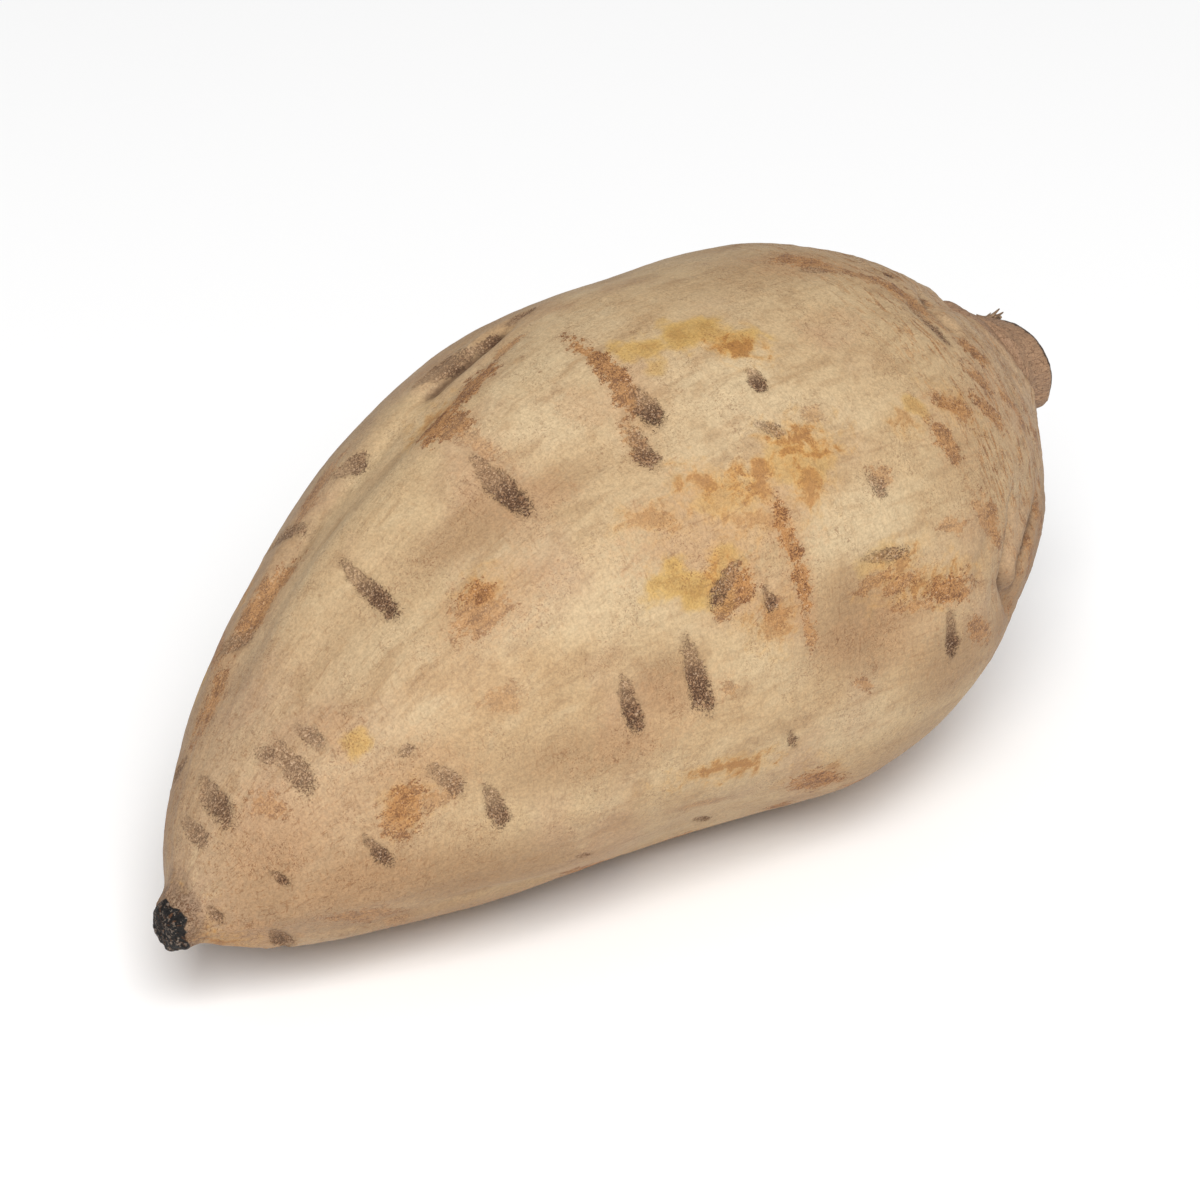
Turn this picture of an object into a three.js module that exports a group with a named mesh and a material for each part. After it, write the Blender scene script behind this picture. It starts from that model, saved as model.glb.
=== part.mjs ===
// A whole raw sweet potato: one swollen root lying on its side, with a thin root tail at one end
// and a short stub of the cut stem at the other. Millimetres, +Z up. X runs from tail to stem,
// the front is towards -Y, and the origin is on the ground under the middle of the root's box.
import * as THREE from "three";

// Mesh density: rings along the root, spokes around it.
const RINGS = 70;
const SPOKES = 72;
const FINE_SAMPLES = 2000; // steps used to space the rings
const TIGHT_RADIUS = 14; // rings crowd together where the root is thinner than about this, mm

const FLAT_HEIGHT = 1.1; // everything lower is pressed flat, where the root lies, mm
const WIDE = 1.02; // cross-section width against its mean radius
const TALL = 0.98; // cross-section height against its mean radius

// The root's body as circles strung along a bent centre line: x, y, z of the centre, then radius.
const BODY = [
  [0.0, -1.0, 17.0, 0.0],
  [0.1, -1.0, 17.0, 2.0],
  [1.4, -1.0, 17.3, 3.4],
  [4.4, -0.8, 18.4, 4.7],
  [8.5, 0.4, 19.8, 8.8],
  [15, 1.4, 21.8, 14.2],
  [25, 2.0, 25.6, 20.6],
  [40, 2.0, 30.8, 27.6],
  [60, 1.8, 35.6, 33.8],
  [80, 0.8, 37.1, 37.5],
  [98, -1.0, 37.1, 38.0],
  [114, -1.0, 37.0, 36.4],
  [128, -1.0, 37.1, 30.2],
  [137, -0.8, 38.2, 22.4],
  [141, -2.4, 41.2, 16.0],
  [141.6, -4.8, 45.2, 11.2],
  [142.4, -6.2, 47.4, 8.6],
  [145, -7.0, 47.6, 7.2],
  [147.4, -7.6, 47.0, 7.0],
  [148.4, -7.8, 46.8, 6.2],
  [148.4, -7.8, 46.8, 0.0],
];

// Creases, hollows and swells of the skin. Each follows a route of points on the body, given as
// mm from the tail tip and degrees round from the top towards the front, and is a rounded ridge
// of this half width and height in mm. A height below zero makes a groove or a hollow.
const RELIEF = [
  { what: "upper crease", half: 3.6, height: -2.0, route: [[20, -33], [36, -28], [52, -22], [72, -22]] },
  { what: "lobe behind it", half: 8, height: 0.7, route: [[44, -46], [60, -41], [80, -42]] },
  { what: "lower front crease", half: 2.6, height: -0.8, route: [[11, 124], [30, 120], [52, 134]] },
  { what: "stem-side fold", half: 2.3, height: -2.2, route: [[124, 72], [117, 81], [115, 89], [121, 103]] },
  { what: "dip past the fold", half: 6, height: -0.4, route: [[130, 76], [126, 90], [129, 104]] },
  { what: "front ridge", half: 6, height: 0.7, route: [[28, 48], [46, 46], [62, 46]] },
  { what: "upper valley", half: 8, height: -1.8, route: [[20, -4], [34, 12], [53, 16], [78, 25]] },
  { what: "front valley", half: 7.5, height: -1.8, route: [[22, 79], [36, 81], [54, 76], [72, 75]] },
  { what: "stem-end hollow", half: 8, height: -1.6, route: [[122, 114], [134, 120]] },
  { what: "waist below", half: 7, height: -1.2, route: [[62, 130], [76, 125]] },
  { what: "front hollow", half: 11, height: -1.9, route: [[86, 82], [94, 78]] },
  { what: "front swell", half: 10, height: 1.5, route: [[87, 119], [100, 126]] },
  { what: "root nub below", half: 2.6, height: 0.8, route: [[69, 112], [71, 112]] },
  { what: "back crease", half: 4, height: -2.4, route: [[48, -112], [74, -103], [96, -106], [116, -118]] },
  { what: "back swell", half: 13, height: 0.8, route: [[58, -66], [78, -70]] },
  { what: "lower back hollow", half: 8, height: -1.0, route: [[26, -140], [48, -148]] },
  { what: "back stem fold", half: 3, height: -1.6, route: [[118, -66], [128, -60], [136, -66]] },
  { what: "under stem fold", half: 3.2, height: -1.4, route: [[116, -158], [127, -166], [136, 174]] },
  { what: "top stem fold", half: 3, height: -1.2, route: [[122, 22], [131, 14], [138, 10]] },
];
const RELIEF_FADE = 0.25; // share of each route over which its height fades in and out

// Catmull-Rom value through rows of numbers, t from 0 to 1.
function splineRow(rows, t) {
  const last = rows.length - 1;
  const at = Math.min(t * last, last - 1e-9);
  const i = Math.floor(at);
  const f = at - i;
  const [a, b, c, d] = [i - 1, i, i + 1, i + 2].map((k) => rows[THREE.MathUtils.clamp(k, 0, last)]);
  const blend = (_, k) => {
    const slope = (c[k] - a[k]) * f;
    const bend = (2 * a[k] - 5 * b[k] + 4 * c[k] - d[k]) * f * f;
    const twist = (3 * b[k] - 3 * c[k] + d[k] - a[k]) * f * f * f;
    return b[k] + 0.5 * (slope + bend + twist);
  };
  return b.map(blend);
}

const fineRings = Array.from({ length: FINE_SAMPLES + 1 }, (_, i) => splineRow(BODY, i / FINE_SAMPLES));

// The point of a ring's circle at an angle from the top, in radians, positive towards the front.
function circlePoint([x, y, z, radius], angle) {
  return new THREE.Vector3(x, y - Math.sin(angle) * radius * WIDE, z + Math.cos(angle) * radius * TALL);
}

// Rings spaced evenly over the skin, and closer where the root is thin.
function spacedRings() {
  const reach = [0];
  for (let i = 1; i < fineRings.length; i++) {
    const [x, , , radius] = fineRings[i];
    const [lastX, , , lastRadius] = fineRings[i - 1];
    reach.push(reach[i - 1] + Math.hypot(x - lastX, radius - lastRadius) / (radius + TIGHT_RADIUS));
  }
  const rings = [];
  let k = 0;
  for (let n = 1; n <= RINGS; n++) {
    const want = (reach[FINE_SAMPLES] * n) / (RINGS + 1);
    while (reach[k] < want) k++;
    rings.push(fineRings[k]);
  }
  return rings;
}

// A relief's route as a smooth curve lying on the plain body.
function routeOnSkin(route) {
  const onSkin = ([along, degrees]) => {
    const ring = fineRings.find(([x]) => x >= along);
    return circlePoint(ring, THREE.MathUtils.degToRad(degrees));
  };
  return new THREE.CatmullRomCurve3(route.map(onSkin)).getPoints(6 * route.length);
}

// How far the skin stands proud of the plain body at a point.
function reliefHeight(point, reliefs) {
  let total = 0;
  for (const { half, height, curve } of reliefs) {
    const gaps = curve.map((p) => p.distanceTo(point));
    const nearest = gaps.indexOf(Math.min(...gaps));
    const share = nearest / (curve.length - 1);
    const fade = THREE.MathUtils.smoothstep(Math.min(share, 1 - share), -RELIEF_FADE, RELIEF_FADE);
    total += height * fade * Math.exp(-((gaps[nearest] / half) ** 2));
  }
  return total;
}

// The closed skin: a pole at each end and a net of rings and spokes between them.
function plainBody() {
  const rings = spacedRings();
  const points = [circlePoint(BODY[0], 0)];
  for (const ring of rings) {
    for (let s = 0; s < SPOKES; s++) points.push(circlePoint(ring, (s / SPOKES) * 2 * Math.PI));
  }
  points.push(circlePoint(BODY[BODY.length - 1], 0));
  const faces = [];
  const at = (r, s) => 1 + r * SPOKES + (s % SPOKES);
  const end = points.length - 1;
  for (let s = 0; s < SPOKES; s++) {
    faces.push(0, at(0, s + 1), at(0, s));
    faces.push(end, at(RINGS - 1, s), at(RINGS - 1, s + 1));
    for (let r = 0; r < RINGS - 1; r++) {
      faces.push(at(r, s), at(r + 1, s + 1), at(r + 1, s));
      faces.push(at(r, s), at(r, s + 1), at(r + 1, s + 1));
    }
  }
  const geometry = new THREE.BufferGeometry().setFromPoints(points);
  geometry.setIndex(faces);
  geometry.computeVertexNormals();
  return geometry;
}

// The root: relief added along the skin's normals, the underside pressed flat, then centred.
function rootGeometry() {
  const geometry = plainBody();
  const { position, normal } = geometry.attributes;
  const reliefs = RELIEF.map((relief) => ({ ...relief, curve: routeOnSkin(relief.route) }));
  for (let i = 0; i < position.count; i++) {
    const point = new THREE.Vector3().fromBufferAttribute(position, i);
    const out = new THREE.Vector3().fromBufferAttribute(normal, i);
    point.addScaledVector(out, reliefHeight(point, reliefs));
    position.setXYZ(i, point.x, point.y, Math.max(point.z, FLAT_HEIGHT));
  }
  geometry.computeBoundingBox();
  const { min, max } = geometry.boundingBox;
  geometry.translate(-(min.x + max.x) / 2, -(min.y + max.y) / 2, -min.z);
  geometry.computeVertexNormals();
  return geometry;
}

const skin = new THREE.MeshStandardMaterial({ color: 0xd0ad7e, roughness: 0.7, metalness: 0 });
const root = new THREE.Mesh(rootGeometry(), skin);
root.name = "sweet_potato";
const part = new THREE.Group();
part.add(root);
export default part;
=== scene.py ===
from math import cos, radians, sin, tau
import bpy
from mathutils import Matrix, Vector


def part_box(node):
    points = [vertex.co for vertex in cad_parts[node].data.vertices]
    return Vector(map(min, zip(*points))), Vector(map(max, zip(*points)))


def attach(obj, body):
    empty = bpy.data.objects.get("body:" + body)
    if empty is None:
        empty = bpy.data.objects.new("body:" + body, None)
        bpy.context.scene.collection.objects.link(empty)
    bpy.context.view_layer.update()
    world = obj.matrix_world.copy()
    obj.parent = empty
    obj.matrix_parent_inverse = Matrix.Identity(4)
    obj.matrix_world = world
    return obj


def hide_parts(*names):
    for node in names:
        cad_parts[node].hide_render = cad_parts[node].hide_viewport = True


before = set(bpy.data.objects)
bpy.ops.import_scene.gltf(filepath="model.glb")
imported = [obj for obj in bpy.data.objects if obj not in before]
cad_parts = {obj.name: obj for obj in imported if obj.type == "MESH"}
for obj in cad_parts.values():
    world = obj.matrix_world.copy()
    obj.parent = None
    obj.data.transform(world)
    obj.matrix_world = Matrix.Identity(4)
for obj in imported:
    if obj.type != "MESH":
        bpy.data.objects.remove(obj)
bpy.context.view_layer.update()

from types import SimpleNamespace

import bmesh
import bpy
import numpy as np
from mathutils import Vector, noise
from mathutils.bvhtree import BVHTree

mm = 0.001
nodeName = "sweet_potato"
low, high = [Vector(corner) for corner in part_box(nodeName)]
print("frame loaded:", [round(side / mm, 1) for side in high - low], "mm")


def readSkin(source):
    count = len(source.vertices)
    points = np.empty(count * 3)
    normals = np.empty(count * 3)
    source.vertices.foreach_get("co", points)
    source.vertices.foreach_get("normal", normals)
    return points.reshape(-1, 3), normals.reshape(-1, 3)


cadMesh = bmesh.new()
cadMesh.from_mesh(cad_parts[nodeName].data)
bmesh.ops.remove_doubles(cadMesh, verts=cadMesh.verts, dist=0.001 * mm)
cadTree = BVHTree.FromBMesh(cadMesh)
cadPoints = np.array([vertex.co for vertex in cadMesh.verts])


# The middle line of the root: the centre of each cross-section's box. Slabs are thinner on the stem.
def measureSpine(points, step=2 * mm, stem=7 * mm):
    stations = np.arange(low.x + step, high.x - step / 2, step)
    middles = []
    for station in stations:
        slab = 1 * mm if station > high.x - stem else 3 * mm
        near = points[abs(points[:, 0] - station) < slab]
        middles.append((near.min(axis=0) + near.max(axis=0)) / 2)
    middles = np.array(middles)
    return stations, middles[:, 1], middles[:, 2]


spineX, spineY, spineZ = measureSpine(cadPoints)


# A place is given as mm along from the tail tip and degrees around, from the top towards the front.
def placeOnSkin(along, around):
    x = low.x + along * mm
    turn = radians(around)
    start = Vector((x, np.interp(x, spineX, spineY), np.interp(x, spineX, spineZ)))
    outward = Vector((0, -sin(turn), cos(turn)))
    centre, normal, _, _ = cadTree.ray_cast(start, outward)
    lengthwise = Vector((1, 0, 0)) - normal * normal.x
    lengthwise.normalize()
    across = Vector((0, -cos(turn), -sin(turn)))
    across -= normal * across.dot(normal) + lengthwise * across.dot(lengthwise)
    across.normalize()
    return [np.array(vector) for vector in (centre, normal, lengthwise, across)]


def distanceToRoute(points, route, samples=14):
    stops = [placeOnSkin(*stop)[0] for stop in route]
    line = []
    for start, end in zip(stops[:-1], stops[1:]):
        line += [start + (end - start) * (step / samples) for step in range(samples)]
    line = np.array(line + [stops[-1]])
    nearest = np.full(len(points), 1.0)
    share = np.zeros(len(points))
    for index, spot in enumerate(line):
        gap = np.linalg.norm(points - spot, axis=1)
        closer = gap < nearest
        nearest[closer] = gap[closer]
        share[closer] = index / (len(line) - 1)
    return nearest / mm, share


def smooth(value, start, end):
    t = np.clip((value - start) / (end - start), 0, 1)
    return t * t * (3 - 2 * t)


rootShape = {
    "levels": 2,  # times the plain body is divided before it is sculpted
    "widest": 38,  # radius of the widest ring, mm
    "widestAt": 95,  # mm from the tail where reach turns from growing along to growing inwards
    "turnOver": 15,
    "gather": 0.4,  # how much the streaks draw together at the ends, from 0 to 1
    "swell": 0.3,  # broad lumps, mm
    "swellSize": 22,
    "ripple": 0.12,  # lengthwise ripples, mm
    "rippleSize": 5,
    "grit": 0.04,  # fine unevenness, mm
    "gritSize": 1.6,
    "scarPit": 0.35,  # depth of a root scar, mm
    "scarRim": 0.14,  # height of the rim round it, mm
    "shoulderStart": 104,  # mm of reach where the shoulder's wrinkles begin
    "shoulderEnd": 140,
    "shoulderWrinkle": 0.16,
    "stubStart": 171,  # mm of reach where the stem stub begins
    "stubLean": 18,  # how much sooner it begins on the top, mm
    "stubLip": 0.5,  # the shoulder's lip in front of the stub's foot, mm
    "stubGroove": 0.8,
    "stubWrinkle": 0.1,
    "crust": 0.35,  # lumps of the dried tail cap, mm
    "crustEnd": 0.9,
    "collarEnd": 5.5,
    "cutDish": 0.9,  # depth of the hollow in the cut stem's face, mm
    "restFade": 0.6,  # the skin is left smooth up to this height where it lies, mm
}

# Sharp creases: half width and depth in mm, then the route in mm along and degrees around.
creases = [
    {"half": 1.3, "depth": 0.5, "route": [(24, -40), (36, -35), (48, -28), (58, -27)]},
    {"half": 1.2, "depth": 1.1, "route": [(58, -28), (64, -28), (71, -27), (78, -28)]},
    {"half": 1.2, "depth": 0.35, "route": [(10, 130), (24, 125), (38, 124), (54, 134)]},
    {"half": 1.0, "depth": 1.6, "route": [(121, 69), (118, 75), (116, 81), (115, 87), (117, 94), (120, 103)]},
    {"half": 1.1, "depth": 0.8, "route": [(131, 74), (127, 79), (123, 83), (120, 88), (119, 95), (120, 102)]},
    {"half": 1.1, "depth": 0.5, "route": [(113, 74), (109, 80), (108, 88)]},
    {"half": 1.3, "depth": 0.8, "route": [(50, -112), (74, -103), (96, -106), (116, -118)]},
    {"half": 1.1, "depth": 0.8, "route": [(131, 6), (126, 20), (125, 32)]},
    {"half": 1.1, "depth": 0.5, "route": [(119, -66), (128, -60), (136, -66)]},
    {"half": 1.1, "depth": 0.6, "route": [(117, -158), (127, -166), (136, 174)]},
]

# Marks on the skin: mm along, degrees around, length and width in mm, turn in degrees from
# lengthwise, and strength from 0 to 1. A weak scar is a pale scuff.
marks = {
    # scar: root scars, speckled dark, mostly across the root and darkest at their far end
    "scar": [
        (36, 6, 11.9, 2.7, 91, 0.95), (54, 14, 11.9, 3.1, 92, 0.95), (74, 21, 6.5, 3.1, 102, 0.95),
        (70, 28, 7.6, 3.0, 100, 0.6), (88, 27, 4.4, 2.1, 101, 0.9), (85, 38, 4.0, 2.1, 52, 0.35),
        (64, 78, 10.8, 3.0, 86, 0.95), (55, 78, 8.0, 2.4, 84, 0.95), (37, 88, 6.1, 2.6, 73, 0.8),
        (23, 83, 5.8, 2.0, 59, 0.9), (11, -2, 9.0, 3.2, 105, 0.7), (8, -11, 6.4, 2.3, 107, 0.4),
        (18, 31, 8.5, 3.0, 93, 0.45), (21, 27, 5.3, 2.4, 83, 0.3), (32, 73, 5.7, 2.7, 47, 0.35),
        (103, 92, 8.4, 2.4, 85, 0.9), (95, 56, 4.0, 2.4, 60, 0.4), (70, 62, 7.0, 2.5, 141, 0.7),
        (75, 69, 4.0, 1.9, 83, 0.9), (12, 76, 3.0, 1.3, 47, 0.9), (5, 90, 3.2, 1.6, 55, 0.5),
        (13, 127, 6.1, 2.5, 54, 0.7), (77, 102, 3.6, 1.5, 61, 0.7), (65, -32, 8.5, 3.7, 15, 0.8),
        (71, -29, 6.6, 1.8, 10, 0.9), (48, -32, 5.7, 3.3, 37, 0.7), (78, -29, 4.8, 2.1, 10, 0.6),
        (125, 6, 2.7, 1.5, 0, 0.95), (121, 27, 8.5, 2.1, 86, 0.6), (112, 2, 4.8, 2.5, 20, 0.2),
        (71, 130, 3.8, 1.6, 30, 0.6), (93, 70, 7.6, 1.8, 8, 0.4), (28, 55, 2.5, 1.6, 0, 0.3),
        (17, 14, 3.8, 1.8, 80, 0.35), (50, 120, 2.8, 1.3, 30, 0.5),
    ],
    # rust: ragged orange-brown scuffs and streaks
    "rust": [
        (74, 6, 17, 3.4, 97, 1.0), (70, 27, 9, 3.2, 100, 0.8), (73, 15, 8, 3.6, 97, 0.9),
        (80, 58, 11, 2.8, 96, 1.0), (80, 68, 13, 3.0, 88, 1.0), (80, 79, 6, 2.0, 86, 0.7),
        (56, -13, 10, 5.8, -3, 1.0), (63, -15, 11, 4.8, 2, 1.0), (71, -19, 6, 2.2, 8, 0.7),
        (56, -7, 5, 4, 70, 0.8), (56, 2, 7, 3, 85, 0.4), (91, 75, 6, 2.6, -20, 0.6),
        (95, 77, 8, 2.2, -10, 0.7), (103, 82, 10, 4.4, 14, 1.0), (97, 83, 8, 2.2, 10, 0.6),
        (43, 34, 5.6, 4.4, 30, 0.9), (42, 38, 9, 6, 10, 0.55), (72, 63, 6, 3.4, 83, 1.0),
        (70, 65, 7, 3.6, 140, 0.8), (75, 72, 6, 4.4, 60, 0.5), (84, 120, 11, 5.6, 20, 1.0),
        (27, 74, 8.6, 5.6, -30, 0.8), (31, 77, 7, 3, -30, 0.5), (122, 16, 12, 4.0, 70, 0.9),
        (113, -1, 10, 5.0, 40, 0.8), (118, 8, 7, 3, 60, 0.7), (126, 36, 9, 3.0, 50, 0.9),
        (123, 43, 7, 2.6, 45, 0.8), (121, 52, 9, 3.0, 60, 0.9), (114, 48, 9, 3.4, 55, 0.8),
        (109, 53, 7.6, 3.2, 70, 0.8), (113, 73, 9, 3.2, 80, 0.8), (111, 70, 7, 2.6, 70, 0.6),
        (109, 95, 9, 4.6, 49, 0.8), (133, 60, 8, 3.0, 77, 0.9), (128, 54, 8, 2.4, 60, 0.7),
        (124, 90, 9, 4, 80, 0.8), (128, 84, 7, 3, 70, 0.7), (105, 70, 6, 2.8, 20, 0.6),
        (96, 55, 5, 3.4, 15, 0.6), (45, -40, 14, 4, 8, 0.6), (31, -38, 16, 4.6, 6, 0.8),
        (20, -42, 12, 4, 0, 0.7), (22, 118, 12, 3.6, 0, 0.6), (96, 128, 12, 3, 0, 0.7),
        (88, 96, 4, 1.8, 40, 0.6), (68, 84, 3, 2, 50, 0.5), (40, 60, 6, 4, 0, 0.4),
        (14, 34, 6, 3.6, 70, 0.5), (66, 116, 10, 2.6, 4, 0.4), (92, 38, 4, 2.6, 30, 0.4),
    ],
    # amber: soft-edged orange and yellow-brown stains
    "amber": [
        (88, 43, 10, 6.6, 12, 1.0), (73, 42, 7, 6, 12, 0.8), (79, 46, 9, 6.0, 5, 0.9),
        (86, 51, 5, 7, 0, 0.8), (66, 44, 12, 4.4, 15, 0.5), (76, 53, 12, 5, 15, 0.5),
        (67, 104, 15, 4.2, 5, 0.9), (94, 74, 9, 5, -26, 0.7), (100, 79, 12, 5, 10, 0.8),
        (27, 73, 6, 5, -30, 0.7), (57, -19, 8, 5, 0, 0.8), (44, 34, 6, 5, 20, 0.6),
        (75, 74, 8, 6, 40, 0.6), (84, 118, 10, 6, 20, 0.6), (114, 47, 8, 5, 50, 0.6),
        (90, 18, 8, 5.4, 70, 1.0), (70, 60, 6, 6, 80, 0.8), (104, 47, 5, 3.4, 30, 0.5),
    ],
    # olive: smooth yellow-green patches where the layer under the skin shows
    "olive": [
        (80, 8, 9, 5.4, 20, 1.0), (86, 9, 10, 6.4, 5, 1.0), (90, 15, 10, 6, 50, 1.0),
        (63, 56, 5, 7, 60, 1.0), (66, 61, 8, 5.4, 30, 1.0), (70, 62, 7, 5, -60, 0.9),
        (71, 57, 4, 5, 70, 0.8), (86, 47, 9, 6, 25, 0.6), (24, 42, 4, 3.4, 60, 0.9),
        (107, 45, 5, 3.2, 40, 0.7), (75, 47, 9, 6, 15, 0.5), (92, 70, 7, 4, -20, 0.5),
        (79, 13, 4, 3, 20, 0.7),
    ],
    # blush: soft pink-brown bruises
    "blush": [
        (70, 50, 20, 14, 2, 1.0), (77, 51, 15, 12, 30, 0.8), (112, -2, 16, 9, 10, 0.7),
        (104, 21, 12, 8, 5, 0.5), (24, 35, 8, 7, 80, 0.8), (68, 12, 8, 6, 60, 0.6),
        (58, 84, 20, 9, -12, 0.6), (14, 50, 16, 12, 0, 0.6), (44, 38, 16, 10, 10, 0.7),
        (96, 84, 16, 12, 0, 0.6), (55, 26, 12, 9, 0, 0.7), (76, 70, 12, 8, 30, 0.7),
        (30, 66, 14, 9, 0, 0.6), (84, 84, 9, 6, 0, 0.4), (112, 50, 14, 12, 40, 0.6),
        (20, 100, 18, 10, 0, 0.5), (53, 10, 9, 9, 80, 0.5),
    ],
    # pale: clear creamy skin
    "pale": [
        (84, 27, 17, 15, 20, 1.0), (91, 63, 16, 11, 10, 1.0), (71, -3, 14, 12, 80, 0.9),
        (48, 30, 18, 7, 20, 0.6), (57, 56, 18, 9, 10, 0.7), (88, 103, 14, 9, 0, 0.6),
        (75, 83, 13, 8, 10, 0.6), (98, 36, 10, 12, 0, 0.3), (64, 9, 16, 9, 30, 0.9),
        (28, 48, 16, 8, 10, 0.5), (52, 97, 16, 5, 4, 0.4), (34, 32, 16, 7, 30, 0.4),
        (73, -8, 24, 14, 10, 0.8), (45, 46, 14, 8, 0, 0.6), (76, 33, 12, 8, 20, 0.7),
    ],
    # painted shade: soft brown shade painted in the hollows and where the skin turns away from the light
    "paintedShade": [
        (88, 82, 20, 15, 0, 1.0), (20, 24, 12, 9, 0, 0.3), (31, 10, 16, 7, 5, 0.3),
        (47, 17, 20, 8, 8, 0.8), (60, 24, 10, 6, 10, 0.6), (60, 78, 9, 10, 0, 0.8),
        (48, 86, 24, 9, 2, 0.8), (22, 98, 26, 12, 0, 0.9), (11, 80, 14, 18, 0, 0.8),
        (34, 112, 34, 14, 0, 1.0), (64, 118, 34, 10, 0, 0.2), (98, 122, 24, 14, 0, 0.7),
        (104, 100, 18, 14, 20, 0.8), (112, 76, 12, 12, 60, 0.5), (118, 98, 12, 14, 60, 1.0),
        (127, 90, 14, 18, 70, 1.0), (127, 104, 14, 16, 60, 1.0), (106, -4, 24, 12, 0, 0.4),
        (118, 24, 14, 14, 40, 0.2), (120, 50, 12, 14, 60, 0.2),
        (30, 128, 46, 10, 0, 0.6), (112, 64, 14, 12, 40, 0.4), (128, 72, 10, 12, 70, 0.3),
    ],
    # grey: dull grey-brown skin at the top, the ends and the underside, partly painted shade where the skin
    # turns away from the light
    "grey": [
        (44, -42, 60, 12, 6, 0.6), (70, -40, 40, 9, 2, 0.4), (96, -34, 40, 12, 0, 0.3),
        (20, -24, 26, 12, 0, 0.4), (112, -22, 26, 14, 0, 0.4), (128, 94, 16, 22, 70, 1.0),
        (3, 40, 10, 30, 0, 0.6), (3, 140, 10, 30, 0, 0.6), (80, 132, 60, 8, 0, 0.4),
        (30, 134, 50, 9, 0, 0.6),
    ],
}


# Marks scattered over the back and the underside, in the same mix as on the front.
hiddenMarks = {
    "seed": 11,
    "scar": {"count": 30, "length": (4, 11), "width": (2, 3.4), "turn": (60, 120)},
    "rust": {"count": 34, "length": (5, 15), "width": (2.4, 5.4), "turn": (-40, 40)},
    "amber": {"count": 12, "length": (5, 12), "width": (3.5, 6.5), "turn": (-40, 40)},
    "olive": {"count": 7, "length": (4, 9), "width": (3, 5.5), "turn": (-40, 40)},
    "blush": {"count": 16, "length": (9, 20), "width": (7, 13), "turn": (-30, 30)},
    "pale": {"count": 12, "length": (12, 20), "width": (7, 13), "turn": (-20, 20)},
    # painted shade, scattered over the back and the underside
    "paintedShade": {"count": 14, "length": (14, 30), "width": (9, 16), "turn": (-20, 20)},
    "grey": {"count": 9, "length": (20, 40), "width": (10, 18), "turn": (-10, 10)},
    "along": (6, 134),
    "around": (128, 318),
    "spacing": 7,  # least distance between two marks of a kind, mm
}


def scatterHiddenMarks():
    draw = np.random.default_rng(hiddenMarks["seed"])
    for kind in marks:
        settings = hiddenMarks[kind]
        spots = []
        while len(spots) < settings["count"]:
            along = draw.uniform(*hiddenMarks["along"])
            around = draw.uniform(*hiddenMarks["around"])
            spot = placeOnSkin(along, around)[0]
            if any(np.linalg.norm(spot - other) < hiddenMarks["spacing"] * mm for other in spots):
                continue
            spots.append(spot)
            sizes = [draw.uniform(*settings[name]) for name in ("length", "width", "turn")]
            marks[kind].append((along, around, *sizes, draw.uniform(0.35, 1)))


# Small pushes about, so that marks laid over the pushed points get wandering outlines. Without a
# seed of its own, noise_vector would take one from the clock and push them otherwise on each run.
def wanderAt(points, wander=((5, 0.9), (2, 0.35)), seed=5):
    noise.seed_set(seed)
    pushes = np.zeros_like(points)
    for size, reach in wander:
        scale = 1 / (size * mm)
        pushes += [noise.noise_vector(Vector(point * scale)) * (reach * mm) for point in points]
    return pushes


# For each point: 1 in the middle of a mark, 0 on its edge and -1 well outside it, then the mark's
# strength, and how far along the mark the point lies, from -1 to 1.
def stampMarks(points, rows, tapered):
    field = np.full(len(points), -1.0)
    strength = np.zeros(len(points))
    travel = np.zeros(len(points))
    for along, around, length, width, turn, force in rows:
        centre, normal, lengthwise, across = placeOnSkin(along, around)
        angle = radians(turn)
        offset = (points - centre) / mm
        u = offset @ (lengthwise * cos(angle) + across * sin(angle)) / (length / 2)
        v = offset @ (across * cos(angle) - lengthwise * sin(angle)) / (width / 2)
        inside = 1 - u * u - (v * (1.05 - 0.3 * u)) ** 2 if tapered else 1 - np.hypot(u, v)
        inside[abs(offset @ normal) > length / 2 + 2] = -1
        better = inside > field
        field[better] = inside[better]
        strength[better] = force
        travel[better] = np.clip(u[better], -1, 1)
    return field, strength, travel


def cloudAt(points, size, octaves=2):
    scale = 1 / (size * mm)
    values = [noise.fractal(Vector(point * scale), 1.0, 2.0, octaves) for point in points]
    return np.array(values)


# Coordinates that follow the root's fibres: reach is the way over the skin from the tail to the
# stem in mm, and two more go round it, so that noise stretched along them gives streaks that draw
# together at both ends. The mm along and the turn round the root come with them.
def fibreCoordinates(points):
    x = points[:, 0]
    side = points[:, 1] - np.interp(x, spineX, spineY)
    rise = points[:, 2] - np.interp(x, spineX, spineZ)
    radius = np.hypot(side, rise) / mm
    along = (x - low.x) / mm
    widest = rootShape["widest"]
    inwards = np.clip((along - rootShape["widestAt"]) / rootShape["turnOver"], -1, 1)
    reach = along + inwards * (widest - radius)
    spread = widest * (np.maximum(radius, 0.5) / widest) ** rootShape["gather"]
    turn = np.arctan2(-side, rise)
    return np.stack([reach, spread * np.sin(turn), spread * np.cos(turn)], axis=1), along, turn


def divideBody():
    bmesh.ops.join_triangles(
        cadMesh, faces=cadMesh.faces, angle_face_threshold=radians(50), angle_shape_threshold=radians(70))
    plain = bpy.data.meshes.new("plainBody")
    cadMesh.to_mesh(plain)
    carrier = bpy.data.objects.new("plainBody", plain)
    bpy.context.collection.objects.link(carrier)
    divide = carrier.modifiers.new("divide", "SUBSURF")
    divide.levels = rootShape["levels"]
    seen = carrier.evaluated_get(bpy.context.evaluated_depsgraph_get())
    fine = bpy.data.meshes.new_from_object(seen)
    bpy.data.objects.remove(carrier)
    fine.name = "rootSkin"
    return fine


# A bell curve: 1 at the middle, and about a third of that half a width away.
def bump(value, middle, half):
    return np.exp(-((value - middle) / half) ** 2)


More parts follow.
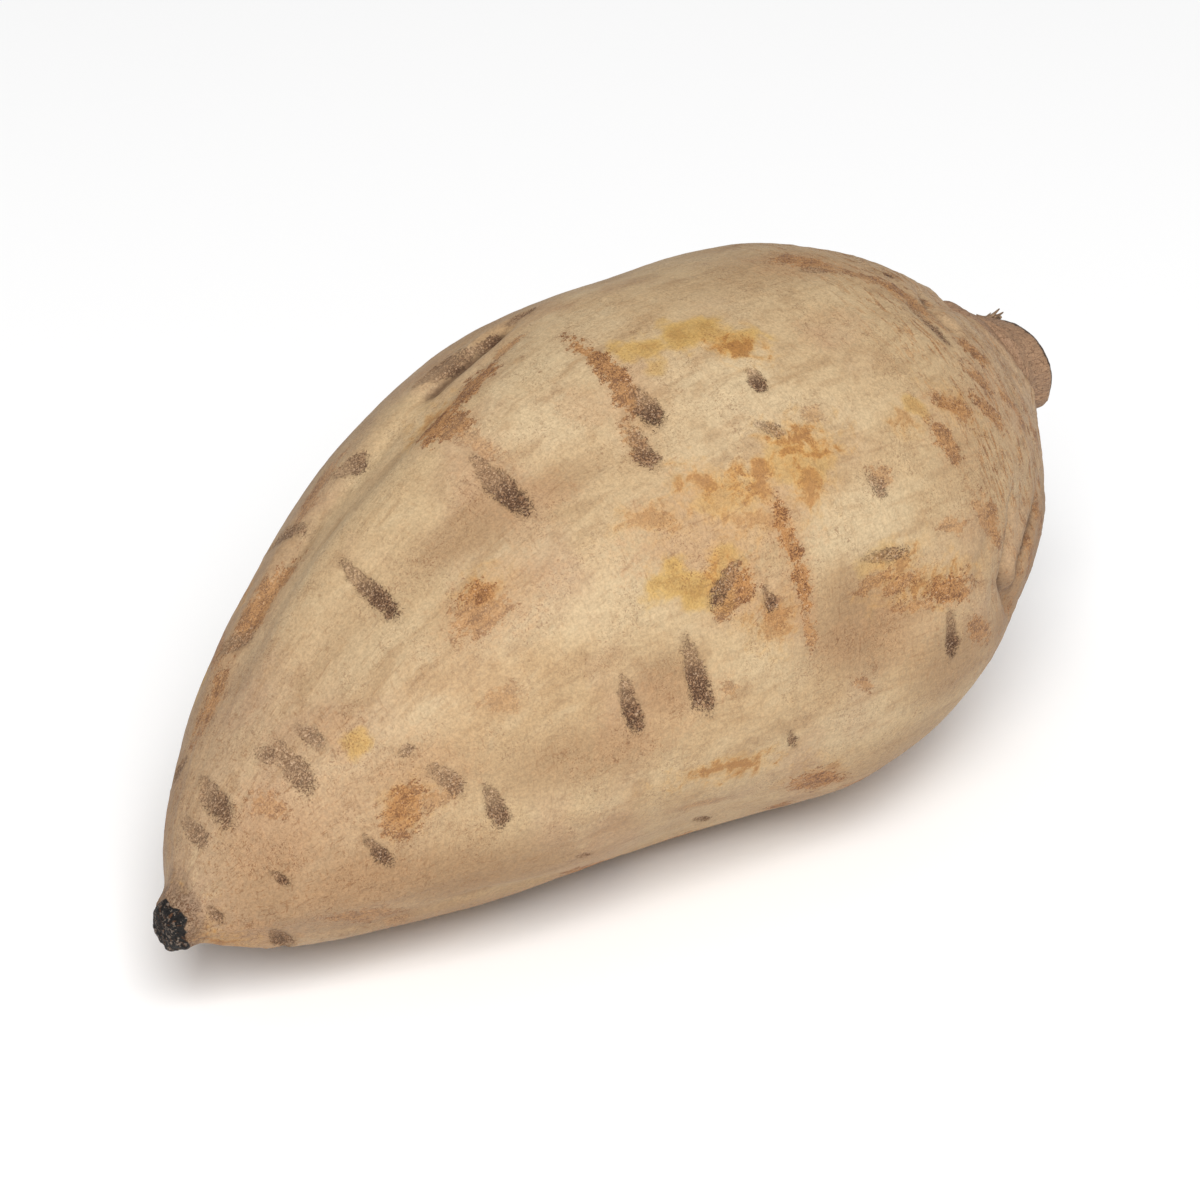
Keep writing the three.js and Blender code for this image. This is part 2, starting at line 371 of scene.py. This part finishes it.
# The push of the sharp creases in mm, and how far each point is in a crease or on its lips.
def foldSkin(points):
    push, crease, lips = np.zeros((3, len(points)))
    for fold in creases:
        gap, share = distanceToRoute(points, fold["route"])
        fade = smooth(np.minimum(share, 1 - share), -0.05, 0.25)
        line = fade * bump(gap, 0, fold["half"])
        lip = fade * bump(gap, 2.2 * fold["half"], fold["half"])
        push += fold["depth"] * (0.25 * lip - line)
        crease = np.maximum(crease, line * min(1, fold["depth"]))
        lips = np.maximum(lips, lip * min(1, fold["depth"]))
    return push, crease, lips


# The push of the lumps, the lengthwise ripples, the fine unevenness and the root scars, in mm.
def roughenSkin(points, fibre, scar, scarForce):
    shape = rootShape
    push = shape["scarRim"] * bump(scar, -0.15, 0.2) * scarForce
    push -= shape["scarPit"] * smooth(scar, 0, 0.6) * scarForce
    push += shape["swell"] * cloudAt(points, shape["swellSize"])
    push += shape["ripple"] * cloudAt(fibre * np.array([0.22, 1, 1]) * mm, shape["rippleSize"], 3)
    push += shape["grit"] * cloudAt(points, shape["gritSize"])
    return push


# The push of the wrinkled shoulder and the stem stub in mm, and where the stub, the shoulder, the
# stub's rim and the lip in front of its foot are. Turns are radians from the top towards the front.
def shapeStem(points, normals, fibre, along, turn):
    shape = rootShape
    reach = fibre[:, 0]
    start = shape["stubStart"] - shape["stubLean"] * bump(turn, 0.3, 0.75)
    stub = smooth(reach + 2 * cloudAt(points, 3), start, start + 3)
    rim = smooth(normals[:, 0], 0.2, 0.6) * smooth(along, 144.5, 146)
    shoulder = smooth(reach, shape["shoulderStart"], shape["shoulderEnd"]) * (1 - stub)
    ridges = 1 - abs(cloudAt(fibre * np.array([1, 0.35, 0.35]) * mm, 3.2, 3)) * 3
    wrinkles = cloudAt(fibre * np.array([0.4, 1, 1]) * mm, 4, 3) * 3
    footLip = bump(reach, start - 2.5, 2.4) * bump(turn, 0.9, 0.9)
    push = shape["shoulderWrinkle"] * shoulder * ridges
    push += shape["stubLip"] * footLip
    push -= shape["stubGroove"] * bump(reach, start + 1.5, 2)
    push += shape["stubWrinkle"] * stub * (1 - rim) * wrinkles
    return push, stub, shoulder, rim, footLip


# The push of the dried tail cap's lumps in mm, and where the cap and the collar behind it are.
def shapeTail(points, along):
    shape = rootShape
    ragged = along + 1.1 * cloudAt(points, 2.2)
    crust = 1 - smooth(ragged, shape["crustEnd"], shape["crustEnd"] + 1.4)
    collar = 1 - smooth(ragged, shape["crustEnd"], shape["collarEnd"])
    return shape["crust"] * collar * cloudAt(points, 1.4, 3), crust, collar


# Hollows the cut stem's face, and tells where the face is.
def dishCutFace(points, normals, along):
    cutFace = smooth(normals[:, 0], 0.75, 0.97) * smooth(along, 145.5, 147)
    centre = (high.x, np.interp(high.x, spineX, spineY), np.interp(high.x, spineX, spineZ))
    fromMiddle = np.linalg.norm((points - centre)[:, 1:], axis=1) / mm
    points[:, 0] -= cutFace * rootShape["cutDish"] * (1 - smooth(fromMiddle, 2, 6.4)) * mm
    return cutFace


def sculptRoot():
    fine = divideBody()
    points, normals = readSkin(fine)
    fibre, along, turn = fibreCoordinates(points)
    fields = {}
    wander = wanderAt(points)
    for kind, rows in marks.items():
        isScar = kind == "scar"
        fields[kind] = stampMarks(points + wander * (0.5 if isScar else 1), rows, isScar)
    scar, scarForce, _ = fields["scar"]

    foldPush, crease, lips = foldSkin(points)
    roughPush = roughenSkin(points, fibre, scar, scarForce)
    stemPush, stub, shoulder, rim, footLip = shapeStem(points, normals, fibre, along, turn)
    tailPush, crust, collar = shapeTail(points, along)
    free = smooth(points[:, 2] / mm, 0, rootShape["restFade"])
    push = (foldPush + roughPush + stemPush + tailPush) * free
    points += normals * push[:, None] * mm
    cutFace = dishCutFace(points, normals, along)
    points[:, 2] = np.maximum(points[:, 2], 0)
    fine.vertices.foreach_set("co", points.ravel())

    fields["fold"] = (crease, np.maximum(lips, footLip * 0.8), along / along.max())
    fields["stem"] = (stub, shoulder, rim * (1 - cutFace))
    fields["tail"] = (crust, collar, cutFace)
    for kind, columns in fields.items():
        writeAttribute(fine, kind, np.stack(columns, axis=1))
    writeAttribute(fine, "fibre", fibre)
    fine.update()
    fine.polygons.foreach_set("use_smooth", np.ones(len(fine.polygons), dtype=bool))
    return fine


def writeAttribute(mesh, name, values):
    layer = mesh.attributes.new(name, "FLOAT_VECTOR", "POINT")
    layer.data.foreach_set("vector", values.astype(np.float32).ravel())


# A socket that can be used in sums: each operator adds a Math node.
class Wire:
    def __init__(self, sheet, socket):
        self.sheet = sheet
        self.socket = socket

    def join(self, operation, first, second):
        return self.sheet.add("ShaderNodeMath", {"operation": operation}, {0: first, 1: second})

    def __add__(self, other):
        return self.join("ADD", self, other)

    def __radd__(self, other):
        return self.join("ADD", other, self)

    def __sub__(self, other):
        return self.join("SUBTRACT", self, other)

    def __rsub__(self, other):
        return self.join("SUBTRACT", other, self)

    def __mul__(self, other):
        return self.join("MULTIPLY", self, other)

    def __rmul__(self, other):
        return self.join("MULTIPLY", other, self)

    def larger(self, other):
        return self.join("MAXIMUM", self, other)


class NodeSheet:
    def __init__(self, name):
        self.material = bpy.data.materials.new(name)
        self.material.use_nodes = True
        self.tree = self.material.node_tree
        self.shader = self.tree.nodes["Principled BSDF"]

    def add(self, kind, settings, values, output=0):
        node = self.tree.nodes.new(kind)
        for name, value in settings.items():
            setattr(node, name, value)
        self.connect(node, values)
        return Wire(self, node.outputs[output])

    def connect(self, node, values):
        for name, value in values.items():
            if isinstance(value, Wire):
                self.tree.links.new(value.socket, node.inputs[name])
            else:
                node.inputs[name].default_value = value

    def step(self, value, start, end):
        ends = {"Value": value, "From Min": start, "From Max": end}
        return self.add("ShaderNodeMapRange", {"interpolation_type": "SMOOTHSTEP"}, ends)

    def stretch(self, vector, factors):
        return self.add("ShaderNodeVectorMath", {"operation": "MULTIPLY"}, {0: vector, 1: factors})

    def cloud(self, vector, size, detail=2, rough=0.5, warp=0):
        values = {"Vector": vector, "Scale": 1 / size, "Detail": detail}
        values.update({"Roughness": rough, "Distortion": warp})
        return self.add("ShaderNodeTexNoise", {}, values, "Fac")

    def mix(self, factor, first, second, blend="MIX"):
        settings = {"data_type": "RGBA", "blend_type": blend}
        return self.add("ShaderNodeMix", settings, {0: factor, 6: first, 7: second}, 2)

    def read(self, name):
        vector = self.add("ShaderNodeAttribute", {"attribute_name": name}, {}, "Vector")
        parts = [self.add("ShaderNodeSeparateXYZ", {}, {0: vector}, axis) for axis in "XYZ"]
        return vector, *parts


# An sRGB colour as the linear one that shaders take.
def tone(red, green, blue):
    levels = [level / 255 for level in (red, green, blue)]
    return (*[level / 12.92 if level < 0.04 else ((level + 0.055) / 1.055) ** 2.4 for level in levels], 1)


skinLook = {
    "cream": tone(188, 161, 123),
    "pale": tone(195, 172, 136),
    "tan": tone(180, 149, 110),
    "brown": tone(150, 116, 80),
    "pinkTan": tone(172, 138, 108),
    "endTan": tone(178, 147, 118),
    "scratch": tone(134, 96, 62),
    "speck": tone(112, 72, 42),
    # painted shade, for the hollows, the sides turned from the light and round the scars
    "paintedShade": tone(152, 119, 84),
    "grey": tone(146, 117, 91),
    "blush": tone(172, 132, 94),
    "amber": tone(174, 120, 54),
    "amberPale": tone(192, 150, 92),
    "amberDeep": tone(128, 78, 38),
    "olive": tone(188, 150, 80),
    "oliveDeep": tone(136, 90, 34),
    "rust": tone(106, 60, 28),
    "rustPale": tone(176, 124, 72),
    "scar": tone(66, 42, 28),
    "scarMid": tone(134, 98, 70),
    "scuff": tone(150, 118, 92),
    "fleck": tone(198, 168, 138),
    # painted shade in the creases
    "crease": tone(76, 50, 32),
    # painted highlight on the lips of the creases
    "lip": tone(172, 142, 110),
    "stub": tone(148, 114, 88),
    "stubLine": tone(92, 64, 44),
    "collar": tone(128, 102, 82),
    "crust": tone(22, 18, 16),
    "crustPale": tone(116, 102, 90),
    "crustBrown": tone(104, 66, 38),
    "cut": tone(138, 108, 76),
    "cutRim": tone(58, 48, 40),
    "roughness": 0.6,
    "scarRoughness": 0.85,
    "bump": 0.8,
}


# Noises that several layers of the skin share. Point is in mm, and the others are drawn out
# lengthwise or round the root.
def skinGrain(sheet):
    metres = sheet.add("ShaderNodeTexCoord", {}, {}, "Object")
    point = sheet.stretch(metres, (1000, 1000, 1000))
    fibre = sheet.read("fibre")[0]
    long = sheet.stretch(fibre, (0.14, 1, 1))
    longish = sheet.stretch(fibre, (0.5, 1, 1))
    hoop = sheet.stretch(fibre, (1, 0.25, 0.25))
    grain = SimpleNamespace(point=point, longish=longish, hoop=hoop)
    grain.grit = sheet.cloud(point, 0.34, 2, 0.7)
    grain.fine = sheet.cloud(point, 0.8, 3, 0.65)
    grain.curls = sheet.cloud(point, 0.6, 3, 0.7, 2.5)
    grain.ragged = sheet.cloud(longish, 1.7, 5, 0.65, 0.3)
    grain.mottle = sheet.cloud(longish, 4.5, 4, 0.6, 0.3)
    grain.streaks = sheet.cloud(long, 2.6, 4, 0.6)
    grain.threads = sheet.cloud(long, 0.55, 3, 0.65)
    grain.hoops = sheet.cloud(hoop, 0.55, 3, 0.65)
    grain.tatters = (grain.ragged - 0.5) * 2.2 + (grain.fine - 0.5) * 1.6 + (grain.curls - 0.5) * 1.2
    return grain


# Broad patches, mottling, faint streaks and browner ends, the browner ends partly painted shade.
def plainSkin(sheet, grain, ends):
    look = skinLook
    patches = sheet.cloud(grain.longish, 19, 3, 0.5)
    skin = sheet.mix(sheet.step(patches, 0.4, 0.66), look["cream"], look["tan"])
    skin = sheet.mix(sheet.step(sheet.cloud(grain.point, 15, 3), 0.5, 0.7) * 0.5, skin, look["pinkTan"])
    _, pale, paleForce, _ = sheet.read("pale")
    paleMask = sheet.step(pale + (grain.mottle - 0.5) * 1.6, -0.5, 0.6) * paleForce
    skin = sheet.mix(paleMask * 0.8, skin, look["pale"])
    skin = sheet.mix(ends * 0.6, skin, look["endTan"])
    # grey: partly painted shade on the top, the ends and the underside
    _, grey, greyForce, _ = sheet.read("grey")
    greyMask = sheet.step(grey + (grain.mottle - 0.5), -0.4, 0.6) * greyForce
    skin = sheet.mix(greyMask * 0.7, skin, look["grey"])
    skin = sheet.mix(sheet.step(grain.mottle, 0.5, 0.7) * 0.45, skin, look["pale"])
    skin = sheet.mix(sheet.step(grain.mottle, 0.49, 0.32) * 0.4, skin, look["brown"])
    return sheet.mix(sheet.step(grain.streaks, 0.46, 0.3) * 0.35, skin, look["brown"])


# Soft brown painted shade, mostly in the hollows, and bruises. Also tells how worn the skin is.
def paintedShadeAndBruises(sheet, grain, ends, skin):
    look = skinLook
    _, paintedShade, paintedShadeForce, _ = sheet.read("paintedShade")
    # painted shade: darker brown in the hollows and where the skin turns away from the light
    paintedShadeMask = sheet.step(paintedShade + (grain.mottle - 0.5) * 1.2, -0.5, 0.7) * paintedShadeForce
    skin = sheet.mix(paintedShadeMask * 0.8, skin, look["paintedShade"])
    _, blush, blushForce, _ = sheet.read("blush")
    blushShape = blush + (grain.mottle - 0.5) * 2.4 + (grain.fine - 0.5) * 1.4
    blushMask = sheet.step(blushShape, -0.2, 0.4) * blushForce
    skin = sheet.mix(blushMask * 0.5, skin, look["blush"])
    worn = 0.22 + paintedShadeMask * 0.2 + blushMask * 0.25 + ends * 0.45
    return skin, worn


# Olive and amber stains, darker in ragged middles.
def stainedSkin(sheet, grain, skin):
    look = skinLook
    _, olive, oliveForce, _ = sheet.read("olive")
    oliveShape = olive + (sheet.cloud(grain.point, 3.2, 5) - 0.5) * 2.4
    skin = sheet.mix(sheet.step(oliveShape, -0.3, 0.4) * oliveForce * 0.75, skin, look["olive"])
    oliveDark = sheet.step(oliveShape + (grain.curls - 0.5) * 1.5, 0.25, 0.9)
    skin = sheet.mix(oliveDark * oliveForce * 0.45, skin, look["oliveDeep"])
    _, amber, amberForce, _ = sheet.read("amber")
    amberShape = amber + (sheet.cloud(grain.point, 2.2, 5, 0.6, 0.5) - 0.5) * 4.5
    skin = sheet.mix(sheet.step(amberShape, -0.6, 0.4) * amberForce * 0.5, skin, look["amberPale"])
    skin = sheet.mix(sheet.step(amberShape, 0.1, 0.7) * amberForce * 0.6, skin, look["amber"])
    amberDark = sheet.step(amberShape + (grain.curls - 0.5) * 2, 0.45, 0.9)
    return sheet.mix(amberDark * amberForce * 0.45, skin, look["amberDeep"])


# Fine scratches and specks over everything, thicker where the skin is worn.
def scratchedSkin(sheet, grain, worn, skin):
    scratches = sheet.step(grain.threads, 0.55, 0.66).larger(sheet.step(grain.hoops, 0.55, 0.66))
    scratchMask = scratches * worn * sheet.step(grain.ragged, 0.35, 0.6)
    skin = sheet.mix(scratchMask, skin, skinLook["scratch"])
    specks = sheet.step(grain.curls, 0.54, 0.63) * sheet.step(sheet.cloud(grain.point, 6), 0.36, 0.66)
    return sheet.mix(specks * (0.4 + worn * 0.5), skin, skinLook["speck"])


# Rust: ragged scuffs, darkest in curling lines, and many small flakes on the shoulder.
def rustySkin(sheet, grain, shoulder, skin):
    look = skinLook
    _, rust, rustForce, _ = sheet.read("rust")
    flakes = sheet.step(sheet.cloud(grain.hoop, 1.1, 5, 0.75, 0.8), 0.52, 0.59)
    flakes = flakes * sheet.step(shoulder, -0.1, 0.4) * 0.8
    rustMask = (sheet.step(rust + grain.tatters, -0.05, 0.3) * rustForce).larger(flakes)
    curlMask = sheet.step(grain.curls + (grain.ragged - 0.5) * 0.6, 0.47, 0.6)
    rustTone = sheet.mix(curlMask, look["rustPale"], look["rust"])
    rustTone = sheet.mix(sheet.step(grain.grit, 0.62, 0.7) * 0.7, rustTone, look["fleck"])
    halo = sheet.step(rust + (grain.mottle - 0.5) * 2, -0.7, 0.3) * rustForce
    skin = sheet.mix(halo * 0.25, skin, look["blush"])
    return sheet.mix(rustMask * 0.85, skin, rustTone), rustMask


# Scars: curling dark lines on a brown bed, crowded at one end and thinning out past the edge.
def scarredSkin(sheet, grain, skin):
    look = skinLook
    _, scar, scarForce, scarTravel = sheet.read("scar")
    dark = scarForce * (0.2 + sheet.step(scarTravel + (grain.ragged - 0.5), -0.5, 0.5) * 0.8)
    scarShape = scar + grain.tatters
    bed = sheet.step(scarShape, -0.15, 0.3)
    bedTone = sheet.mix(dark, look["scuff"], look["scarMid"])
    crowd = sheet.step(grain.curls + scar * 0.07 + dark * 0.05, 0.54, 0.62)
    # a soft darker halo round each scar, painted shade round its hollow
    skin = sheet.mix(sheet.step(scar, -0.9, 0.3) * scarForce * 0.45, skin, look["paintedShade"])
    skin = sheet.mix(bed * (0.25 + dark * 0.6), skin, bedTone)
    scarMask = sheet.step(scarShape, -0.7, 0.3) * crowd * (0.3 + dark * 0.6)
    skin = sheet.mix(scarMask, skin, look["scar"])
    skin = sheet.mix(bed * sheet.step(grain.grit, 0.57, 0.66) * 0.6, skin, look["fleck"])
    return skin, bed, scarMask


# The stem stub with its net of fine cracks. The cut face takes its own colour later.
def stubSkin(sheet, grain, stub, stubRim, skin):
    look = skinLook
    netValues = {"Vector": grain.longish, "Scale": 0.8}
    nets = sheet.add("ShaderNodeTexVoronoi", {"feature": "DISTANCE_TO_EDGE"}, netValues, "Distance")
    netLines = sheet.step(nets, 0.1, 0.0) * sheet.step(grain.fine, 0.4, 0.6)
    skin = sheet.mix(stub * 0.75, skin, look["stub"])
    skin = sheet.mix(sheet.step(grain.curls, 0.54, 0.64) * stub * 0.5, skin, look["stubLine"])
    skin = sheet.mix(netLines * stub * 0.5, skin, look["stubLine"])
    skin = sheet.mix(sheet.step(stubRim + (grain.fine - 0.5), 0.3, 0.7) * 0.85, skin, look["cutRim"])
    return skin, netLines


# The pithy face left where the stem was cut.
def cutFaceTone(sheet, grain):
    look = skinLook
    pores = sheet.add("ShaderNodeTexVoronoi", {}, {"Vector": grain.point, "Scale": 1.9}, "Distance")
    poreMask = sheet.step(pores + (grain.fine - 0.5) * 0.8, 0.36, 0.1)
    cutTone = sheet.mix(sheet.step(grain.mottle, 0.4, 0.65), look["cut"], look["stub"])
    return sheet.mix(poreMask * 0.7, cutTone, look["cutRim"])


# The dull collar behind the tail and its black dried cap.
def tailSkin(sheet, grain, crust, collar, skin):
    look = skinLook
    collarLines = sheet.step(grain.curls + (grain.ragged - 0.5) * 0.4, 0.5, 0.62)
    skin = sheet.mix(sheet.step(collar, 0.0, 0.6) * 0.6, skin, look["collar"])
    skin = sheet.mix(collarLines * sheet.step(collar, 0.1, 0.8) * 0.7, skin, look["crustBrown"])
    crustMask = sheet.step(crust + (grain.fine - 0.5) * 0.8, 0.4, 0.6)
    paleMask = sheet.step(grain.fine + (grain.grit - 0.5) * 0.8, 0.55, 0.68)
    crustTone = sheet.mix(paleMask, look["crust"], look["crustPale"])
    crustTone = sheet.mix(sheet.step(grain.ragged, 0.56, 0.64) * 0.7, crustTone, look["crustBrown"])
    return sheet.mix(crustMask, skin, crustTone), collarLines * collar, crustMask


def skinMaterial():
    look = skinLook
    sheet = NodeSheet("rootSkin")
    grain = skinGrain(sheet)
    _, crease, lips, share = sheet.read("fold")
    _, stub, shoulder, stubRim = sheet.read("stem")
    _, crust, collar, cut = sheet.read("tail")
    # ends: the skin browner towards the tail and the stem, partly painted shade where the root turns away
    # from the light
    ends = sheet.step(share, 0.3, 0.0).larger(sheet.step(share, 0.74, 0.98))

    skin = plainSkin(sheet, grain, ends)
    skin, worn = paintedShadeAndBruises(sheet, grain, ends, skin)
    skin = stainedSkin(sheet, grain, skin)
    skin = scratchedSkin(sheet, grain, worn, skin)
    skin, rustMask = rustySkin(sheet, grain, shoulder, skin)
    skin, bed, scarMask = scarredSkin(sheet, grain, skin)
    # painted highlight: the lip tone laid along the crease lips and the lip before the stub's foot
    skin = sheet.mix(lips * 0.4, skin, look["lip"])
    # painted shade: the creases darkened where shade falls in them
    creaseShadeMask = sheet.step(crease + (grain.ragged - 0.5) * 0.8, 0.35, 1.0)
    skin = sheet.mix(creaseShadeMask * 0.8, skin, look["crease"])
    skin, netLines = stubSkin(sheet, grain, stub, stubRim, skin)
    skin = sheet.mix(sheet.step(cut, 0.1, 0.6), skin, cutFaceTone(sheet, grain))
    skin, collarLines, crustMask = tailSkin(sheet, grain, crust, collar, skin)

    # the finest grain, darker and lighter by a few per cent
    finest = 0.8 + sheet.step(grain.grit, 0.32, 0.68) * 0.2 + sheet.step(grain.fine, 0.3, 0.7) * 0.14
    skin = sheet.mix(1.0, skin, finest, "MULTIPLY")

    height = grain.threads * 0.06 + grain.hoops * 0.04 + grain.streaks * 0.1
    height = height + grain.fine * 0.1 + grain.grit * 0.08
    height = height + rustMask * (grain.curls - 0.5) * 0.25 - bed * 0.08 - scarMask * 0.12
    height = height - netLines * stub * 0.1 + collarLines * 0.15 + crustMask * grain.fine * 0.4
    bumpValues = {"Strength": look["bump"], "Distance": 1.0 * mm, "Height": height}
    bumps = sheet.add("ShaderNodeBump", {}, bumpValues, "Normal")
    rough = look["roughness"] + (grain.fine - 0.5) * 0.2
    rough = rough + bed * (look["scarRoughness"] - look["roughness"])
    sheet.connect(sheet.shader, {"Base Color": skin, "Roughness": rough, "Normal": bumps})
    sheet.shader.inputs["Specular IOR Level"].default_value = 0.3
    return sheet.material


def buildRoot():
    scatterHiddenMarks()
    root = bpy.data.objects.new("rootBody", sculptRoot())
    bpy.context.collection.objects.link(root)
    root.data.materials.append(skinMaterial())
    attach(root, "root")
    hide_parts(nodeName)
    print("root sculpted:", len(root.data.polygons), "faces")


# A few dried fibres left standing on the stem stub, each one a closed, flattened sliver.
stemFibres = {
    "seed": 8,
    "count": 7,
    "stops": 9,  # rings of corners along each sliver
    "corners": 6,
    "along": (143.8, 145.4),  # mm from the tail where they leave the skin
    "around": (-46, -28),
    "length": (3.4, 5.0),
    "width": (1.1, 2.0),
    "thickness": 0.9,
    "rooted": 0.15,  # how deep under the skin they start
    "lift": (0.8, 2.0),  # how far their tips stand off the skin
    "fan": 22,  # degrees they spread from lengthwise
    "curl": 0.35,
    "roll": 1.2,  # radians they turn about their own length
    "color": tone(160, 132, 104),
    "dark": tone(104, 78, 54),
}


def addSliver(shape, draw):
    look = stemFibres
    place = [draw.uniform(*look[name]) for name in ("along", "around")]
    centre, normal, lengthwise, across = placeOnSkin(*place)
    fan = radians(draw.uniform(-look["fan"], look["fan"]))
    forward = lengthwise * cos(fan) + across * sin(fan)
    side = across * cos(fan) - lengthwise * sin(fan)
    length, width, lift = [draw.uniform(*look[name]) for name in ("length", "width", "lift")]
    waves = draw.uniform(-1, 1, 2) * look["curl"]
    roll = draw.uniform(-look["roll"], look["roll"])
    flat = side * cos(roll) + normal * sin(roll)
    thick = normal * cos(roll) - side * sin(roll)
    rings = []
    for stop in range(look["stops"]):
        t = stop / (look["stops"] - 1)
        middle = forward * length * t + normal * (lift * t ** 1.5 - look["rooted"])
        middle += side * waves[0] * sin(5 * t) + normal * waves[1] * sin(4 * t) * t
        taper = 0.25 + 0.75 * (1 - t) ** 0.7
        ring = []
        for corner in range(look["corners"]):
            angle = corner / look["corners"] * tau
            reach = flat * cos(angle) * width / 2 + thick * sin(angle) * look["thickness"] / 2
            ring.append(shape.verts.new(Vector(centre + (middle + reach * taper) * mm)))
        rings.append(ring)
    for first, second in zip(rings[:-1], rings[1:]):
        for corner in range(look["corners"]):
            after = (corner + 1) % look["corners"]
            shape.faces.new((first[corner], first[after], second[after], second[corner]))
    shape.faces.new(rings[0])
    shape.faces.new(rings[-1])


def fibreMaterial():
    sheet = NodeSheet("stemFibre")
    metres = sheet.add("ShaderNodeTexCoord", {}, {}, "Object")
    point = sheet.stretch(metres, (300, 1000, 1000))
    streaks = sheet.cloud(point, 0.4, 3, 0.6)
    color = sheet.mix(sheet.step(streaks, 0.4, 0.65), stemFibres["dark"], stemFibres["color"])
    bumpValues = {"Strength": 0.5, "Distance": 0.2 * mm, "Height": streaks}
    bumps = sheet.add("ShaderNodeBump", {}, bumpValues, "Normal")
    sheet.connect(sheet.shader, {"Base Color": color, "Roughness": 0.8, "Normal": bumps})
    return sheet.material


def buildFibres():
    draw = np.random.default_rng(stemFibres["seed"])
    shape = bmesh.new()
    for _ in range(stemFibres["count"]):
        addSliver(shape, draw)
    bmesh.ops.recalc_face_normals(shape, faces=shape.faces)
    mesh = bpy.data.meshes.new("stemFibres")
    shape.to_mesh(mesh)
    mesh.materials.append(fibreMaterial())
    tuft = bpy.data.objects.new("stemFibres", mesh)
    bpy.context.collection.objects.link(tuft)
    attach(tuft, "root")
    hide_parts(nodeName)
    print("stem fibres:", stemFibres["count"])


buildRoot()
buildFibres()


studio = {
    "azimuth": -42,
    "elevation": 32,
    "distance": 0.605,
    "lens": 135,
    "aim": (1.28, -0.16, -3.0),  # from the middle of the root's box, mm
    "floor": tone(250, 250, 250),
    "floorReach": 4,  # metres from the middle to each side of the floor
    "sky": 0.4,
    "keySize": 1.25,
    "keyPower": 49,
    "keyFrom": (-0.81, -1.08, 1.71),
}


def buildCamera():
    azimuth, elevation = radians(studio["azimuth"]), radians(studio["elevation"])
    back = Vector((sin(azimuth) * cos(elevation), -cos(azimuth) * cos(elevation), sin(elevation)))
    camera = bpy.data.objects.new("camera", bpy.data.cameras.new("camera"))
    bpy.context.collection.objects.link(camera)
    camera.data.lens = studio["lens"]
    camera.data.sensor_width = 36
    camera.data.clip_start = 0.01
    target = (low + high) / 2 + Vector(studio["aim"]) * mm
    camera.location = target + back * studio["distance"]
    camera.rotation_euler = back.to_track_quat("Z", "Y").to_euler()
    bpy.context.scene.camera = camera


def buildFloor():
    sheet = NodeSheet("paperFloor")
    sheet.connect(sheet.shader, {"Base Color": studio["floor"], "Roughness": 0.9})
    side = studio["floorReach"]
    corners = [(-side, -side, 0), (side, -side, 0), (side, side, 0), (-side, side, 0)]
    mesh = bpy.data.meshes.new("floor")
    mesh.from_pydata(corners, [], [(0, 1, 2, 3)])
    mesh.materials.append(sheet.material)
    floor = bpy.data.objects.new("floor", mesh)
    bpy.context.collection.objects.link(floor)


def buildLights():
    world = bpy.data.worlds.new("softSky")
    world.use_nodes = True
    sky = world.node_tree.nodes["Background"]
    sky.inputs["Color"].default_value = (1, 1, 1, 1)
    sky.inputs["Strength"].default_value = studio["sky"]
    bpy.context.scene.world = world
    key = bpy.data.objects.new("keyLight", bpy.data.lights.new("keyLight", "AREA"))
    key.data.size = studio["keySize"]
    key.data.energy = studio["keyPower"]
    key.location = studio["keyFrom"]
    key.rotation_euler = Vector(studio["keyFrom"]).to_track_quat("Z", "Y").to_euler()
    bpy.context.collection.objects.link(key)


buildCamera()
buildFloor()
buildLights()
bpy.context.scene.view_settings.view_transform = "Standard"
print("studio ready")
